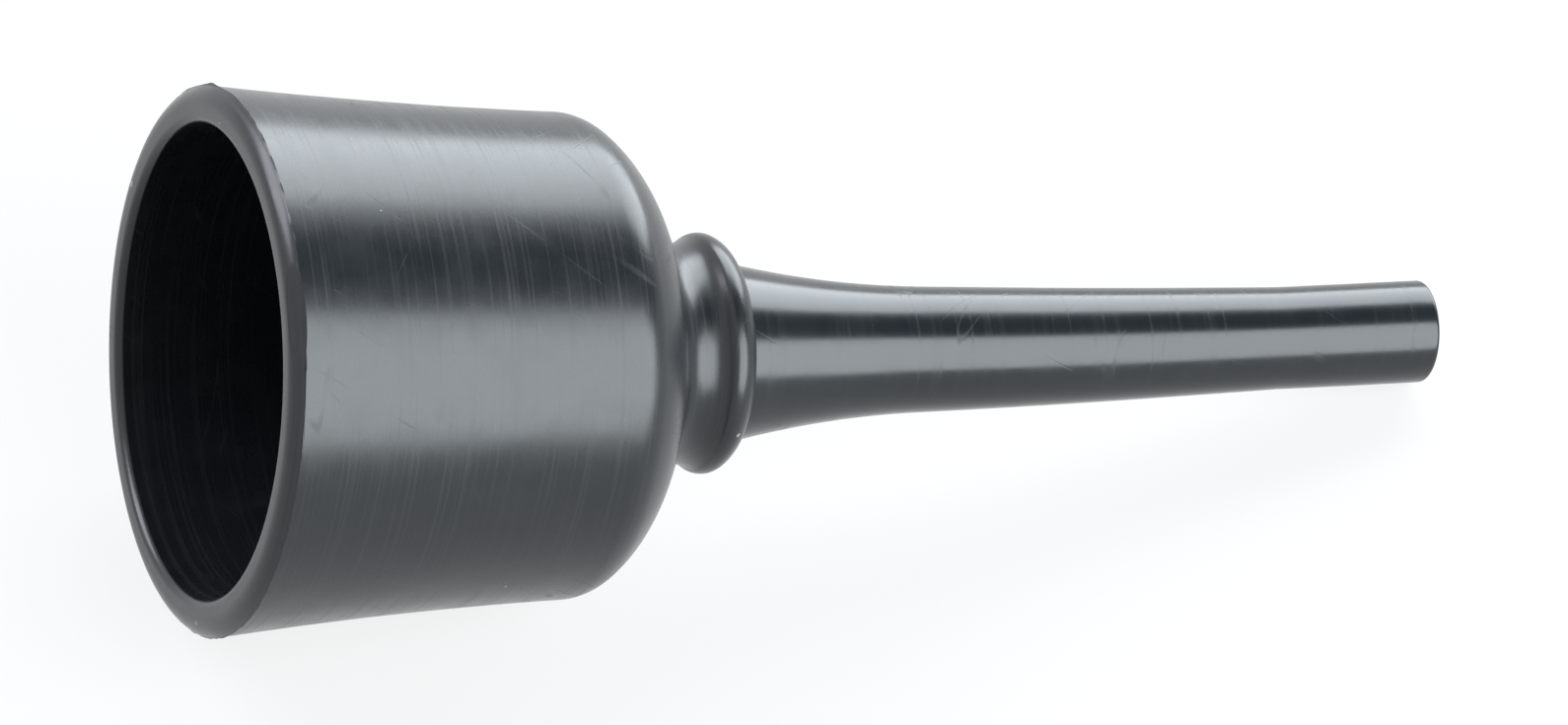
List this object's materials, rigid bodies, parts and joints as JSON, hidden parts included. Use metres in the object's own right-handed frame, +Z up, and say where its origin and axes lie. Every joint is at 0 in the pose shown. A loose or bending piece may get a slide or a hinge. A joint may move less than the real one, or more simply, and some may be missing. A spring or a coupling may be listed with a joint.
{
  "type": "dust blower bulb",
  "caption": "Open rubber bell with a sealing lip, a beaded neck around a hidden ferrule and a long tapered nozzle; pushed against the palm it blows air from its tip.",
  "frame": {"origin": "bottom centre of the box around the tool as it lies at rest, on the table", "axes": "+X from the bell's mouth towards the nozzle's tip, +Y across, +Z up. The tool's own axis dips 11.48 degrees below +X, because it lies on its shoulder and its tip"},
  "size_m": [0.0998, 0.0402, 0.0425],
  "materials": {
    "bell_rubber": "satin moulded black rubber with faint turning marks",
    "nozzle_rubber": "smoother, glossier moulded black rubber",
    "ferrule_plastic": "hard black plastic"
  },
  "bodies": {
    "bell": {"bulb_body": "bell_rubber"},
    "nozzle_end": {"neck_ferrule": "ferrule_plastic", "nozzle": "nozzle_rubber"}
  },
  "joints": [
    {"name": "press_stroke", "type": "slide", "parent": "bell", "child": "nozzle_end", "axis": [-0.98, 0, 0.199], "range_m": [0, 0.008], "stiffness_N_per_m": 1500, "deforming": ["bulb_body"]}
  ]
}
